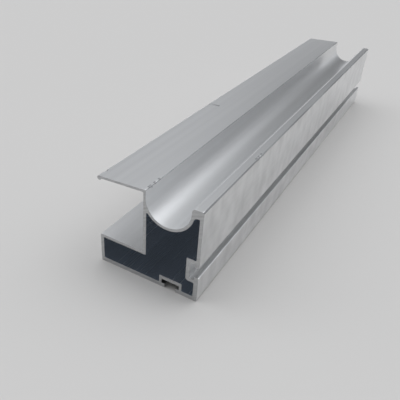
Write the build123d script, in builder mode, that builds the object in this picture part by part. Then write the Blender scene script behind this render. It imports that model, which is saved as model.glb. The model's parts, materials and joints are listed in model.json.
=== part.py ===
"""Cut length of an extruded aluminium handle stile for a sliding cupboard door.

The section is one hollow extrusion. A ledge and a toed-in flange grip the edge of a board,
a round scoop beside the flange is the finger pull, and two pile slots of one shape open
downwards and to the side for sealing strips.

Section coordinates: x runs from the outer face of the leg across to the pull edge, z runs up
from the face that the bar stands on. The bar runs along Y, and the origin is under its middle.
"""
import os
from math import cos, radians, sqrt, tan

from build123d import *

# Overall, in millimetres; the width is from the leg to the pull edge
bar_length = 178.0
bar_width = 31.0

# Board grip: the leg's ledge below, the flange above, the web behind the board's edge
leg_height = 9.4
grip_depth = 14.0
grip_gap = 18.65
flange_reach = 14.2
flange_toe_in_angle = 3.0
flange_bead_radius = 0.62

# Walls
base_wall = 1.3
leg_wall = 1.0
ledge_wall = 0.9
web_wall = 0.9
upper_web_wall = 0.7
flange_wall = 0.7
scoop_wall = 0.8
edge_wall = 1.0
edge_foot_wall = 1.3

# Finger scoop between two straight walls, and the solid head between it and the pull edge
upper_web_rise = 2.3
head_rise = 1.5
head_width = 3.25
head_depth = 2.4
head_drop = 0.25

# Pile slots: one pocket behind two lips, used in the base and in the pull edge
pile_pocket_width = 5.4
pile_pocket_depth = 1.4
pile_mouth_width = 3.4
pile_lip = 1.3
pile_back_wall = 1.1
base_pile_wall = 0.8
edge_pile_wall = 1.0
base_pile_x = 22.8
edge_pile_z = 9.75

# Rounded corners
leg_corner_radius = 0.4
foot_corner_radius = 0.6
head_nose_radius = 1.0
head_outer_radius = 0.5
arris_radius = 0.2
bead_root_radius = 0.4
inner_corner_radius = 0.3
pile_lip_radius = 0.3
pile_mouth_radius = 0.2
pile_pocket_radius = 0.2
edge_pile_corner_radius = 1.0

# Heights and widths that follow from the sizes above
flange_under_z = leg_height + grip_gap
flange_slope = tan(radians(flange_toe_in_angle))
flange_rise = flange_wall / cos(radians(flange_toe_in_angle))
upper_web_x = grip_depth + upper_web_wall
flange_top_z = flange_under_z + flange_rise
flange_tip_x = grip_depth - flange_reach
bead_x = flange_tip_x + flange_bead_radius
bead_drop = flange_slope * (grip_depth - bead_x)
bead_z = flange_top_z - bead_drop - flange_bead_radius

head_x = bar_width - head_width
head_top_z = flange_top_z - head_drop
head_under_z = head_top_z - head_depth
scoop_web_z = flange_top_z - upper_web_rise
scoop_head_z = head_top_z - head_rise
scoop_width = head_x - upper_web_x
scoop_floor_z = (scoop_web_z + scoop_head_z - scoop_width) / 2
scoop_web_radius = scoop_web_z - scoop_floor_z
scoop_head_radius = scoop_head_z - scoop_floor_z
scoop_x = upper_web_x + scoop_web_radius

web_inner_x = grip_depth + web_wall
shell_head_radius = scoop_head_radius + scoop_wall
shell_web_radius = scoop_web_radius + scoop_wall
shell_floor_z = scoop_floor_z - scoop_wall
shell_start_z = scoop_web_z - sqrt(shell_web_radius**2 - (scoop_x - web_inner_x) ** 2)
shell_end_x = scoop_x + sqrt(shell_head_radius**2 - (head_under_z - scoop_head_z) ** 2)
head_root_radius = bar_width - edge_wall - inner_corner_radius - shell_end_x

pile_block_depth = pile_lip + pile_pocket_depth + pile_back_wall
base_pile_width = pile_pocket_width + 2 * base_pile_wall
edge_pile_width = pile_pocket_width + 2 * edge_pile_wall
base_pile_place = Location((base_pile_x, 0))
edge_pile_place = Location((bar_width, edge_pile_z), 90)
base_pile_left = base_pile_x - base_pile_width / 2
base_pile_right = base_pile_x + base_pile_width / 2
edge_pile_bottom = edge_pile_z - edge_pile_width / 2
edge_pile_top = edge_pile_z + edge_pile_width / 2

middle_x = (flange_tip_x + bar_width) / 2
section_plane = Plane(origin=(-middle_x, 0, 0), x_dir=(1, 0, 0), z_dir=(0, -1, 0))


def corners(sketch, places):
    """The vertices of a sketch that lie nearest to the given section points."""
    return [sketch.vertices().sort_by_distance(Vector(*place))[0] for place in places]


# Full outline: leg, base, pull edge, head, scoop, upper web and the under-cut for the board.
# The scoop is two arcs that meet on its floor, the tighter one running smoothly up into the web.
with BuildSketch() as outline:
    with BuildLine():
        Polyline(
            (upper_web_x, scoop_web_z),
            (upper_web_x, flange_top_z),
            (grip_depth, flange_top_z),
            (grip_depth, leg_height),
            (0, leg_height),
            (0, 0),
            (bar_width, 0),
            (bar_width, head_top_z),
            (head_x, head_top_z),
            (head_x, scoop_head_z),
        )
        TangentArc((scoop_x, scoop_floor_z), (head_x, scoop_head_z), tangent=(1, 0))
        TangentArc((scoop_x, scoop_floor_z), (upper_web_x, scoop_web_z), tangent=(-1, 0))
    make_face()
    fillet(corners(outline, [(0, 0), (0, leg_height)]), leg_corner_radius)
    fillet(corners(outline, [(bar_width, 0)]), foot_corner_radius)
    fillet(corners(outline, [(head_x, head_top_z)]), head_nose_radius)
    fillet(corners(outline, [(bar_width, head_top_z)]), head_outer_radius)
    fillet(corners(outline, [(upper_web_x, flange_top_z)]), arris_radius)
    fillet(corners(outline, [(grip_depth, leg_height)]), inner_corner_radius)

# Flange: leans in towards the ledge and ends in a round bead just past the leg
with BuildSketch() as flange:
    with BuildLine():
        Polyline(
            (grip_depth, flange_under_z),
            (grip_depth, flange_top_z),
            (bead_x, flange_top_z - bead_drop),
            (bead_x, flange_under_z - bead_drop),
            close=True,
        )
    make_face()
    with Locations((bead_x, bead_z)):
        Circle(flange_bead_radius)
    fillet(corners(flange, [(bead_x + flange_bead_radius, bead_z)]), bead_root_radius)

# Chamber: one hollow that runs from the leg under the web and up round the scoop
with BuildSketch() as chamber:
    with BuildLine():
        Polyline(
            (shell_end_x, head_under_z),
            (bar_width - edge_wall, head_under_z),
            (bar_width - edge_wall, edge_pile_z),
            (bar_width - edge_foot_wall, edge_pile_z),
            (bar_width - edge_foot_wall, base_wall),
            (leg_wall, base_wall),
            (leg_wall, leg_height - ledge_wall),
            (web_inner_x, leg_height - ledge_wall),
            (web_inner_x, shell_start_z),
        )
        TangentArc((scoop_x, shell_floor_z), (shell_end_x, head_under_z), tangent=(1, 0))
        TangentArc((scoop_x, shell_floor_z), (web_inner_x, shell_start_z), tangent=(-1, 0))
    make_face()
    fillet(corners(chamber, [(shell_end_x, head_under_z)]), head_root_radius)
    fillet(corners(chamber, [(bar_width - edge_wall, head_under_z)]), inner_corner_radius)
    fillet(corners(chamber, [(leg_wall, base_wall)]), inner_corner_radius)
    fillet(corners(chamber, [(leg_wall, leg_height - ledge_wall)]), inner_corner_radius)

# Walls round the pile slots, drawn with the slot opening downwards; the edge one has a rounded shoulder
with BuildSketch() as base_pile_block:
    Rectangle(base_pile_width, pile_block_depth, align=(Align.CENTER, Align.MIN))

with BuildSketch() as edge_pile_block:
    Rectangle(edge_pile_width, pile_block_depth, align=(Align.CENTER, Align.MIN))
    fillet(corners(edge_pile_block, [(-edge_pile_width / 2, pile_block_depth)]), edge_pile_corner_radius)

# Hollow of a pile slot: a mouth between eased lips, and the wider pocket behind them
with BuildSketch() as pile_hollow:
    Rectangle(pile_mouth_width, pile_lip, align=(Align.CENTER, Align.MIN))
    with Locations((0, pile_lip)):
        Rectangle(pile_pocket_width, pile_pocket_depth, align=(Align.CENTER, Align.MIN))
    pocket_end = pile_lip + pile_pocket_depth
    lip_corners = [(side * pile_mouth_width / 2, pile_lip) for side in (-1, 1)]
    pocket_corners = [(side * pile_pocket_width / 2, pocket_end) for side in (-1, 1)]
    fillet(corners(pile_hollow, lip_corners), pile_lip_radius)
    fillet(corners(pile_hollow, pocket_corners), pile_pocket_radius)

# Corners that are rounded once the section is whole
pile_mouth_edges = [
    (base_pile_x - pile_mouth_width / 2, 0),
    (base_pile_x + pile_mouth_width / 2, 0),
    (bar_width, edge_pile_z - pile_mouth_width / 2),
    (bar_width, edge_pile_z + pile_mouth_width / 2),
]
pile_block_tops = [
    (base_pile_left, pile_block_depth),
    (base_pile_right, pile_block_depth),
    (bar_width - pile_block_depth, edge_pile_top),
]
pile_block_roots = [
    (base_pile_left, base_wall),
    (base_pile_right, base_wall),
    (bar_width - edge_foot_wall, edge_pile_bottom),
    (bar_width - edge_wall, edge_pile_top),
    (bar_width - edge_foot_wall, base_wall),
]
web_roots = [
    (grip_depth, flange_under_z),
    (web_inner_x, leg_height - ledge_wall),
    (web_inner_x, shell_start_z),
]

with BuildPart() as handle_profile:
    with BuildSketch(section_plane) as section:
        add(outline.sketch)
        add(flange.sketch)
        add(chamber.sketch, mode=Mode.SUBTRACT)
        with Locations(base_pile_place):
            add(base_pile_block.sketch)
        with Locations(edge_pile_place):
            add(edge_pile_block.sketch)
        with Locations(base_pile_place, edge_pile_place):
            add(pile_hollow.sketch, mode=Mode.SUBTRACT)
        fillet(corners(section, pile_mouth_edges), pile_mouth_radius)
        fillet(corners(section, pile_block_tops), arris_radius)
        fillet(corners(section, pile_block_roots + web_roots), inner_corner_radius)
    extrude(amount=bar_length / 2, both=True)

handle_profile.part.label = "handle_profile"
os.makedirs("parts", exist_ok=True)
export_step(handle_profile.part, "parts/handle_profile.step")
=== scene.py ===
import json
import math

import bmesh
import bpy
from mathutils import Matrix, Vector

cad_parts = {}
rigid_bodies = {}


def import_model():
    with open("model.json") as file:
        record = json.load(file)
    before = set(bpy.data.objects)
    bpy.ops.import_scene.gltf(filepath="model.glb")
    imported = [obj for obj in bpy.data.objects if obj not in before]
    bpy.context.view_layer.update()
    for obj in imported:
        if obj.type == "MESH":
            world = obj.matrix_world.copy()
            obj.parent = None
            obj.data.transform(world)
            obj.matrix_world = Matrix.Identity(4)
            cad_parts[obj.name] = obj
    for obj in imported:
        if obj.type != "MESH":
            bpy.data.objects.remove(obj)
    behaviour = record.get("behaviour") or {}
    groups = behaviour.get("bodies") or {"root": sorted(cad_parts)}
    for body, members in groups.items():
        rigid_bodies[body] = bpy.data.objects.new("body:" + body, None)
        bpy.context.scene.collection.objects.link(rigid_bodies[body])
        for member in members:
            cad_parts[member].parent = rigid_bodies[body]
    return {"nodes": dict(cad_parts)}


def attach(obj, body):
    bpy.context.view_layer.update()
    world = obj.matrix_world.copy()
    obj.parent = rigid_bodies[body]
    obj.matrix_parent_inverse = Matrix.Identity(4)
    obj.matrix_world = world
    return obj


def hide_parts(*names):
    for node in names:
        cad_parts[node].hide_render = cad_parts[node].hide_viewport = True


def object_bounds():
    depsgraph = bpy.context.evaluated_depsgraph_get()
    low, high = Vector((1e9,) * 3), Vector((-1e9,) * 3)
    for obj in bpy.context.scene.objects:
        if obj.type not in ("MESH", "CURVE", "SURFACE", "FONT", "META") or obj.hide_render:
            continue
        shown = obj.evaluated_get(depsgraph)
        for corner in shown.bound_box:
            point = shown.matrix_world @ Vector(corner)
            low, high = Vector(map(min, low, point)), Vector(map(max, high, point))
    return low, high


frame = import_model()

mm = 0.001
cad_low, cad_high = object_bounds()

# The bar's own landmarks, in metres
near_end = cad_low.y
far_end = cad_high.y
flange_tip = cad_low.x
pull_face = cad_high.x
flange_arris = flange_tip + 14.9 * mm
flange_top = cad_high.z
head_top = cad_high.z - 0.25 * mm
base_inside = 1.3 * mm

# Sawn ends: the width of the broken rim
rim_break = 0.11 * mm

# Order of the finishes on the bar; the drawn finish comes first and needs no choosing
sawn_slot = 1
chamber_slot = 2
# The last finish is scuffed metal in the marks and painted shade on the rounded corners
scuff_and_shade_slot = 3

# How far points may lie apart and still be one, and the turns below which walls are flat or smooth
same_point = 0.002 * mm
flat_turn = math.radians(0.5)
smooth_turn = math.radians(38)

# Marks of handling: distance from the near end, length along the bar and depth
bead_nick = (3.3 * mm, 1.3 * mm, 0.28 * mm)
arris_nicks = [
    (2.3 * mm, 1.3 * mm, 0.16 * mm),
    (4.6 * mm, 0.9 * mm, 0.22 * mm),
    (6.6 * mm, 0.8 * mm, 0.1 * mm),
]
head_dents = [
    (32.2 * mm, 1.2 * mm, 0.14 * mm),
    (33.9 * mm, 1.0 * mm, 0.2 * mm),
    (35.6 * mm, 1.1 * mm, 0.12 * mm),
]
flange_cut = (60.9 * mm, 1.0 * mm, 0.3 * mm)
flange_cut_reach = 4.4 * mm


# Working on a piece by hand

def work_on(piece):
    """Makes a piece the only selected and active one."""
    bpy.ops.object.select_all(action="DESELECT")
    piece.select_set(True)
    bpy.context.view_layer.objects.active = piece


def choose(piece, kind, wanted):
    """In edit mode, selects only the faces, edges or verts that are wanted."""
    modes = {"faces": "FACE", "edges": "EDGE", "verts": "VERT"}
    bpy.ops.mesh.select_mode(type=modes[kind])
    bpy.ops.mesh.select_all(action="DESELECT")
    mesh = bmesh.from_edit_mesh(piece.data)
    for item in getattr(mesh, kind):
        if wanted(item):
            item.select_set(True)
    mesh.select_flush_mode()
    bmesh.update_edit_mesh(piece.data)


def give_finish(piece, slot):
    """In edit mode, gives the selected faces one of the piece's finishes."""
    piece.active_material_index = slot
    bpy.ops.object.material_slot_assign()


def cut_row(place, along):
    """In edit mode, cuts the selected faces by a plane through a place."""
    bpy.ops.mesh.bisect(plane_co=place, plane_no=along, use_fill=False)


def push(amount):
    """In edit mode, moves what is selected."""
    bpy.ops.transform.translate(value=amount)


# The bar

def stock_from_section():
    """A copy of the extrusion with one clean face for each wall."""
    mesh = frame["nodes"]["handle_profile"].data.copy()
    mesh.materials.clear()
    bar = bpy.data.objects.new("extruded_bar", mesh)
    bpy.context.scene.collection.objects.link(bar)
    work_on(bar)
    bpy.ops.object.mode_set(mode="EDIT")
    bpy.ops.mesh.select_all(action="SELECT")
    bpy.ops.mesh.remove_doubles(threshold=same_point)
    bpy.ops.mesh.dissolve_limited(angle_limit=flat_turn)
    bpy.ops.object.mode_set(mode="OBJECT")
    return bar


def finish_faces(bar, faces, ends, chamber, scuffs_and_shade):
    """Gives the drawn faces, the sawn ends and the chamber their finishes, and makes room for the scuffs
    and the painted corner shade.
    """
    def chamber_floor(f):
        middle = f.calc_center_median()
        return f.normal.z > 0.9 and middle.x < 0 and abs(middle.z - base_inside) < 0.1 * mm

    for finish in (faces, ends, chamber, scuffs_and_shade):
        bar.data.materials.append(finish)
    work_on(bar)
    bpy.ops.object.mode_set(mode="EDIT")
    choose(bar, "faces", lambda f: abs(f.normal.y) > 0.9)
    give_finish(bar, sawn_slot)
    bpy.ops.mesh.hide(unselected=False)
    choose(bar, "faces", chamber_floor)
    bpy.ops.mesh.select_linked()
    give_finish(bar, chamber_slot)
    bpy.ops.mesh.reveal(select=False)
    bpy.ops.object.mode_set(mode="OBJECT")


def break_rims(bar):
    """Breaks the sharp rims of both sawn ends."""
    def on_end(v):
        return min(v.co.y - near_end, far_end - v.co.y) < 0.001 * mm

    def rim(e):
        ends = [abs(f.normal.y) > 0.9 for f in e.link_faces]
        return all(on_end(v) for v in e.verts) and any(ends) and not all(ends)

    work_on(bar)
    bpy.ops.object.mode_set(mode="EDIT")
    choose(bar, "edges", rim)
    bpy.ops.mesh.bevel(
        offset=rim_break, segments=2, profile=0.5, affect="EDGES", clamp_overlap=True, material=sawn_slot
    )
    bpy.ops.object.mode_set(mode="OBJECT")


def between(value, low, high):
    return low <= value <= high


def press_mark(bar, mark, inside, way):
    """Presses a mark in: the middle row of it by the full depth, the rows beside it by about half."""
    start, length, depth = mark
    for share, part in ((0, 1.0), (-0.25, 0.55), (0.25, 0.55)):
        row = near_end + start + share * length
        choose(bar, "verts", lambda v: abs(v.co.y - row) < 0.02 * mm and inside(v.co))
        push([part * depth * step for step in way])


def cut_cells(bar, mark, faces, planes):
    """Cuts the faces under a mark into small cells, so that the rest of the wall stays flat."""
    start, length, _ = mark
    rows = [near_end + start + share * length for share in (-0.5, -0.25, 0, 0.25, 0.5)]
    for row in rows:
        bpy.ops.mesh.select_all(action="SELECT")
        cut_row((0, row, 0), (0, 1, 0))

    def under_mark(f):
        middle = f.calc_center_median()
        return rows[0] < middle.y < rows[-1] and faces(middle)

    for place, along in planes:
        choose(bar, "faces", under_mark)
        cut_row(place, along)


def scuff(bar, mark, inside):
    """Gives the middle of a mark the scuffed finish."""
    start, length, _ = mark

    def in_middle(f):
        middle = f.calc_center_median()
        in_length = abs(middle.y - near_end - start) < 0.4 * length
        return in_length and f.normal.z > -0.1 and inside(middle)

    choose(bar, "faces", in_middle)
    give_finish(bar, scuff_and_shade_slot)


def painted_shade_corner(f):
    """True for the rounded outer corner of the head and the rounded arris of the flange, which get
    painted shade: a dark line along the whole bar.
    """
    middle = f.calc_center_median()
    rounded = f.normal.x > 0.25 and f.normal.z > 0.25
    on_head = middle.x > pull_face - 0.5 * mm and middle.z > head_top - 0.5 * mm
    on_arris = abs(middle.x - flange_arris) < 0.3 * mm and middle.z > flange_top - 0.3 * mm
    return rounded and (on_head or on_arris)


def press_marks(bar):
    """Nicks on the bead and the flange's arris, dents on the head, a cut flange, and painted shade on
    the rounded corners.
    """
    across = (1, 0, 0)
    level = (0, 0, 1)

    def on_flange(p):
        return p.x < flange_arris and p.z > flange_top - 2 * mm

    def on_upper_web(p):
        return between(p.x, flange_arris - 3 * mm, flange_arris + 0.1 * mm) and p.z > flange_top - 6 * mm

    def on_head(p):
        return p.x > pull_face - 4 * mm and p.z > head_top - 14 * mm

    def at_bead(p):
        return p.x < flange_tip + 0.75 * mm and p.z > flange_top - 1.6 * mm

    def at_arris(p):
        return abs(p.x - flange_arris) < 0.3 * mm and p.z > flange_top - 0.3 * mm

    def round_arris(p):
        return between(p.x - flange_arris, -0.8 * mm, 0.1 * mm) and p.z > flange_top - 0.4 * mm

    def on_head_top(p):
        return p.x > pull_face - 1.0 * mm and p.z > head_top - 0.5 * mm

    def at_head_corner(p):
        return p.x > pull_face - 0.6 * mm and p.z > head_top - 0.6 * mm

    work_on(bar)
    bpy.ops.object.mode_set(mode="EDIT")
    bead_lines = [((flange_tip + inset * mm, 0, 0), across) for inset in (1.0, 1.7)]
    cut_cells(bar, bead_nick, on_flange, bead_lines)
    press_mark(bar, bead_nick, at_bead, (0.5, 0, -0.8))
    scuff(bar, bead_nick, at_bead)
    arris_lines = [((flange_arris - inset * mm, 0, 0), across) for inset in (0.5, 0.9)]
    arris_lines += [((0, 0, flange_top - inset * mm), level) for inset in (0.6, 1.1)]
    for mark in arris_nicks:
        cut_cells(bar, mark, on_upper_web, arris_lines)
        press_mark(bar, mark, at_arris, (-0.6, 0, -0.8))
        scuff(bar, mark, round_arris)
    head_lines = [((pull_face - inset * mm, 0, 0), across) for inset in (0.9, 1.4)]
    head_lines += [((0, 0, head_top - inset * mm), level) for inset in (0.9, 1.5)]
    for mark in head_dents:
        cut_cells(bar, mark, on_head, head_lines)
        press_mark(bar, mark, at_head_corner, (-0.7, 0, -0.7))
        scuff(bar, mark, on_head_top)
    cut_parts = (0.2, 0.4, 0.6, 0.8, 1.0)
    cut_lines = [((flange_tip + flange_cut_reach * part, 0, 0), across) for part in cut_parts]
    cut_cells(bar, flange_cut, on_flange, cut_lines)
    start, length, depth = flange_cut
    steps = (0.25, 0.45, 0.65, 0.85)
    for part in steps:
        reach = flange_tip + flange_cut_reach * part
        step = (start, length, depth / len(steps))
        press_mark(bar, step, lambda p: p.x < reach and p.z > flange_top - 1.6 * mm, (0, 0, -1))
    scuff(bar, flange_cut, lambda p: p.x < flange_tip + flange_cut_reach and on_flange(p))
    # Painted shade: the rounded corners get the darker finish along the whole bar
    choose(bar, "faces", painted_shade_corner)
    give_finish(bar, scuff_and_shade_slot)
    bpy.ops.object.mode_set(mode="OBJECT")


def smooth_walls(bar):
    """Shades the rounded walls smoothly and keeps the flat ones flat."""
    work_on(bar)
    bpy.ops.object.shade_smooth_by_angle(angle=smooth_turn)
    even = bar.modifiers.new("even_normals", "WEIGHTED_NORMAL")
    even.keep_sharp = True
    even.weight = 50
    bpy.ops.object.modifier_apply(modifier=even.name)


# Finishes

# Saw blade: where its middle passed each end, and how closely its arcs lie
blade_middle = (0.06, 0, -0.10)
arcs_a_metre = 1900


def new_group(name, outputs):
    """An empty shader group with value outputs."""
    tree = bpy.data.node_groups.new(name, "ShaderNodeTree")
    for output in outputs:
        tree.interface.new_socket(output, in_out="OUTPUT", socket_type="NodeSocketFloat")
    return tree, tree.nodes.new("NodeGroupOutput")


def stretched_noise(tree, stretch, detail):
    """Noise on Object coordinates, stretched by a scale for each axis."""
    place = tree.nodes.new("ShaderNodeTexCoord")
    scale = tree.nodes.new("ShaderNodeMapping")
    scale.inputs["Scale"].default_value = stretch
    noise = tree.nodes.new("ShaderNodeTexNoise")
    noise.inputs["Scale"].default_value = 1.0
    noise.inputs["Detail"].default_value = detail
    tree.links.new(place.outputs["Object"], scale.inputs["Vector"])
    tree.links.new(scale.outputs["Vector"], noise.inputs["Vector"])
    return noise.outputs["Fac"]


def spread(tree, value, low, high, new_low, new_high):
    """Maps a value from one range to another."""
    node = tree.nodes.new("ShaderNodeMapRange")
    tree.links.new(value, node.inputs["Value"])
    node.inputs["From Min"].default_value = low
    node.inputs["From Max"].default_value = high
    node.inputs["To Min"].default_value = new_low
    node.inputs["To Max"].default_value = new_high
    return node.outputs["Result"]


def sum_of(tree, first, second):
    node = tree.nodes.new("ShaderNodeMath")
    node.operation = "ADD"
    tree.links.new(first, node.inputs[0])
    tree.links.new(second, node.inputs[1])
    return node.outputs["Value"]


def drawn_lines():
    """Lines that the die leaves along the bar: fine ones and broad streaks."""
    tree, out = new_group("drawn_lines", ["Lines", "Streaks"])
    fine = stretched_noise(tree, (3600, 14, 3600), 3)
    broad = stretched_noise(tree, (520, 4, 520), 2)
    tree.links.new(fine, out.inputs["Lines"])
    tree.links.new(broad, out.inputs["Streaks"])
    return tree


def handling():
    """Smudges from hands and the rack, and rub marks that run up the pull face only."""
    tree, out = new_group("handling", ["Smudges", "Rubs"])
    tree.links.new(stretched_noise(tree, (90, 45, 90), 4), out.inputs["Smudges"])
    place = tree.nodes.new("ShaderNodeTexCoord")
    parts = tree.nodes.new("ShaderNodeSeparateXYZ")
    tree.links.new(place.outputs["Object"], parts.inputs["Vector"])
    on_pull_face = spread(tree, parts.outputs["X"], pull_face - 0.6 * mm, pull_face - 0.2 * mm, 0, 1)
    rubs = spread(tree, stretched_noise(tree, (150, 270, 150), 1), 0, 1, -0.4, 0.4)
    both = tree.nodes.new("ShaderNodeMath")
    both.operation = "MULTIPLY"
    tree.links.new(rubs, both.inputs[0])
    tree.links.new(on_pull_face, both.inputs[1])
    tree.links.new(both.outputs["Value"], out.inputs["Rubs"])
    return tree


def saw_marks():
    """Arcs that the saw blade leaves on a cut end, with a fine grain between them."""
    tree, out = new_group("saw_marks", ["Arcs", "Grain"])
    place = tree.nodes.new("ShaderNodeTexCoord")
    flat = tree.nodes.new("ShaderNodeVectorMath")
    flat.operation = "MULTIPLY"
    flat.inputs[1].default_value = (1, 0, 1)
    radius = tree.nodes.new("ShaderNodeVectorMath")
    radius.operation = "DISTANCE"
    radius.inputs[1].default_value = blade_middle
    count = tree.nodes.new("ShaderNodeMath")
    count.operation = "MULTIPLY"
    count.inputs[1].default_value = arcs_a_metre
    arcs = tree.nodes.new("ShaderNodeTexNoise")
    arcs.noise_dimensions = "1D"
    arcs.inputs["Scale"].default_value = 1.0
    arcs.inputs["Detail"].default_value = 3
    tree.links.new(place.outputs["Object"], flat.inputs[0])
    tree.links.new(flat.outputs["Vector"], radius.inputs[0])
    tree.links.new(radius.outputs["Value"], count.inputs[0])
    tree.links.new(count.outputs["Value"], arcs.inputs["W"])
    tree.links.new(arcs.outputs["Fac"], out.inputs["Arcs"])
    tree.links.new(stretched_noise(tree, (2600, 2600, 2600), 2), out.inputs["Grain"])
    return tree


lines_group = drawn_lines()
handling_group = handling()
saw_group = saw_marks()


def new_material(name):
    made = bpy.data.materials.new(name)
    made.use_nodes = True
    return made, made.node_tree, made.node_tree.nodes["Principled BSDF"]


def new_metal(name):
    made, tree, shader = new_material(name)
    shader.inputs["Metallic"].default_value = 1.0
    return made, tree, shader


def use_group(tree, group):
    node = tree.nodes.new("ShaderNodeGroup")
    node.node_tree = group
    return node.outputs


def blend_of(tree, share, dark, light):
    """A colour between a dark and a light one."""
    ramp = tree.nodes.new("ShaderNodeValToRGB")
    ramp.color_ramp.elements[0].position = 0.3
    ramp.color_ramp.elements[0].color = (*dark, 1)
    ramp.color_ramp.elements[1].position = 0.7
    ramp.color_ramp.elements[1].color = (*light, 1)
    tree.links.new(share, ramp.inputs["Fac"])
    return ramp.outputs["Color"]


def relief(tree, shader, height, depth):
    """Raises a height into the shader's normal."""
    bump = tree.nodes.new("ShaderNodeBump")
    bump.inputs["Distance"].default_value = depth
    bump.inputs["Strength"].default_value = 1.0
    tree.links.new(height, bump.inputs["Height"])
    tree.links.new(bump.outputs["Normal"], shader.inputs["Normal"])


def drawn_finish():
    """Bright aluminium as it leaves the die. Its lines spread reflections across the bar."""
    made, tree, shader = new_metal("drawn_aluminium")
    lines = use_group(tree, lines_group)
    marks = use_group(tree, handling_group)
    across = tree.nodes.new("ShaderNodeTangent")
    across.direction_type = "RADIAL"
    across.axis = "Y"
    tree.links.new(across.outputs["Tangent"], shader.inputs["Tangent"])
    shader.inputs["Anisotropic"].default_value = 0.85
    patches = sum_of(tree, spread(tree, lines["Streaks"], 0.3, 0.7, 0.42, 0.58), marks["Rubs"])
    colour = blend_of(tree, patches, (0.66, 0.665, 0.67), (0.81, 0.815, 0.82))
    tree.links.new(colour, shader.inputs["Base Color"])
    smooth = spread(tree, lines["Streaks"], 0.3, 0.7, 0.27, 0.31)
    rough = sum_of(tree, smooth, spread(tree, marks["Smudges"], 0.3, 0.7, 0.0, 0.04))
    tree.links.new(rough, shader.inputs["Roughness"])
    fine = spread(tree, lines["Lines"], 0, 1, 0, 0.1)
    broad = spread(tree, lines["Streaks"], 0, 1, 0, 0.5)
    height = sum_of(tree, sum_of(tree, fine, broad), marks["Rubs"])
    relief(tree, shader, height, 0.012 * mm)
    return made


def sawn_finish():
    """Duller aluminium of a sawn end."""
    made, tree, shader = new_metal("sawn_aluminium")
    saw = use_group(tree, saw_group)
    colour = blend_of(tree, saw["Arcs"], (0.47, 0.475, 0.48), (0.56, 0.565, 0.57))
    tree.links.new(colour, shader.inputs["Base Color"])
    tree.links.new(spread(tree, saw["Grain"], 0.3, 0.7, 0.42, 0.56), shader.inputs["Roughness"])
    relief(tree, shader, sum_of(tree, saw["Arcs"], saw["Grain"]), 0.02 * mm)
    return made


def chamber_finish():
    """Smooth walls inside the chamber.

    A faint glow, set from the photo's tone, stands in for light that is reflected many times.
    """
    made, tree, shader = new_metal("chamber_aluminium")
    lines = use_group(tree, lines_group)
    colour = blend_of(tree, lines["Streaks"], (0.62, 0.68, 0.76), (0.68, 0.74, 0.82))
    tree.links.new(colour, shader.inputs["Base Color"])
    tree.links.new(spread(tree, lines["Lines"], 0.3, 0.7, 0.22, 0.28), shader.inputs["Roughness"])
    relief(tree, shader, lines["Lines"], 0.002 * mm)
    shader.inputs["Emission Color"].default_value = (0.0085, 0.0092, 0.0100, 1)
    shader.inputs["Emission Strength"].default_value = 1.0
    return made


def scuff_and_shade_finish():
    """Darker, duller metal of scuffed dents; on the rounded corners its darkness is painted shade."""
    made, tree, shader = new_metal("scuffed_and_shaded_aluminium")
    lines = use_group(tree, lines_group)
    marks = use_group(tree, handling_group)
    # Darker colour: scuffed metal in the dents, painted shade on the rounded corners
    colour = blend_of(tree, marks["Smudges"], (0.26, 0.265, 0.27), (0.46, 0.465, 0.47))
    tree.links.new(colour, shader.inputs["Base Color"])
    tree.links.new(spread(tree, lines["Lines"], 0.3, 0.7, 0.4, 0.52), shader.inputs["Roughness"])
    relief(tree, shader, lines["Lines"], 0.002 * mm)
    return made


def floor_finish():
    """Plain pale floor, slightly warm against the cool sky."""
    made, tree, shader = new_material("pale_floor")
    shader.inputs["Base Color"].default_value = (0.632, 0.62, 0.604, 1)
    shader.inputs["Roughness"].default_value = 0.9
    shader.inputs["Specular IOR Level"].default_value = 0.2
    return made


bar = stock_from_section()
finish_faces(bar, drawn_finish(), sawn_finish(), chamber_finish(), scuff_and_shade_finish())
break_rims(bar)
press_marks(bar)
smooth_walls(bar)
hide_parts("handle_profile")
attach(bar, "root")

# Floor
floor_width = 40.0
bpy.ops.object.select_all(action="DESELECT")
bpy.ops.mesh.primitive_plane_add(size=floor_width)
floor = bpy.context.object
floor.name = "floor"
floor.data.materials.append(floor_finish())


# Light: a soft sky made of a few broad patches, pale at the horizon

# Azimuth from behind the bar towards its left, elevation, and strength.
# The strengths were fitted to the photo's tones by least squares, then merged and rounded.
sky_patches = {
    "overhead": (0, 90, 1.0),
    "high behind": (0, 65, 0.7),
    "high left behind": (60, 65, 1.0),
    "high left": (120, 65, 0.5),
    "high right behind": (-60, 65, 1.6),
    "left": (105, 40, 1.2),
    "right behind": (-35, 40, 0.8),
    "low left behind": (35, 15, 0.55),
    "low left": (110, 15, 0.5),
    "low right behind": (-35, 15, 0.2),
    "front": (180, 50, 0.2),
}
patch_sharpness = 12.0
sky_colour = (0.982, 1.0, 1.028)

# The pale horizon: its strength, and the heights on a unit sphere between which it fades
horizon_strength = 0.56
horizon_fade = (0.13, 0.22)


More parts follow.
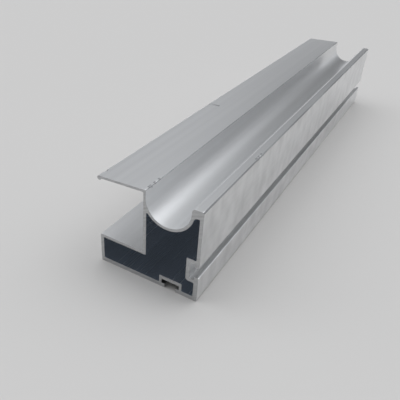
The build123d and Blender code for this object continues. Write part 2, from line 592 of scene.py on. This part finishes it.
def sky_patch(tree, place, azimuth, elevation, strength):
    """A patch of sky that is brightest at its middle and fades smoothly round it."""
    turn = math.radians(azimuth)
    rise = math.radians(elevation)
    towards = tree.nodes.new("ShaderNodeVectorMath")
    towards.operation = "DOT_PRODUCT"
    level = math.cos(rise)
    towards.inputs[1].default_value = (-math.sin(turn) * level, math.cos(turn) * level, math.sin(rise))
    fade = tree.nodes.new("ShaderNodeMath")
    fade.operation = "MULTIPLY_ADD"
    fade.inputs[1].default_value = patch_sharpness
    fade.inputs[2].default_value = math.log(strength) - patch_sharpness
    glow = tree.nodes.new("ShaderNodeMath")
    glow.operation = "EXPONENT"
    tree.links.new(place, towards.inputs[0])
    tree.links.new(towards.outputs["Value"], fade.inputs[0])
    tree.links.new(fade.outputs["Value"], glow.inputs[0])
    return glow.outputs["Value"]


def soft_sky():
    """Adds the patches to the pale horizon."""
    world = bpy.data.worlds.new("soft_sky")
    bpy.context.scene.world = world
    world.use_nodes = True
    tree = world.node_tree
    place = tree.nodes.new("ShaderNodeTexCoord").outputs["Generated"]
    parts = tree.nodes.new("ShaderNodeSeparateXYZ")
    tree.links.new(place, parts.inputs["Vector"])
    total = spread(tree, parts.outputs["Z"], *horizon_fade, horizon_strength, 0.0)
    total.node.interpolation_type = "SMOOTHSTEP"
    for azimuth, elevation, strength in sky_patches.values():
        total = sum_of(tree, total, sky_patch(tree, place, azimuth, elevation, strength))
    tree.links.new(total, tree.nodes["Background"].inputs["Strength"])
    tree.nodes["Background"].inputs["Color"].default_value = (*sky_colour, 1)


soft_sky()

# Camera: solved from the bar's edges in the photo.
# It is turned to its left, tipped down and rolled, in degrees
camera_place = Vector((53.85, -170.33, 90.86)) * mm
camera_turn = 26.03
camera_tip = 33.195
camera_roll = 4.95
focal_length = 42.70
sensor_width = 36
turn = Matrix.Rotation(math.radians(camera_turn), 4, "Z")
tip_down = Matrix.Rotation(math.radians(90 - camera_tip), 4, "X")
roll = Matrix.Rotation(math.radians(camera_roll), 4, "Z")
lens = bpy.data.cameras.new("camera")
lens.lens = focal_length
lens.sensor_width = sensor_width
lens.clip_start = 0.005
camera = bpy.data.objects.new("camera", lens)
camera.matrix_world = Matrix.Translation(camera_place) @ turn @ tip_down @ roll
bpy.context.scene.collection.objects.link(camera)
bpy.context.scene.camera = camera
bpy.context.scene.view_settings.view_transform = "Standard"
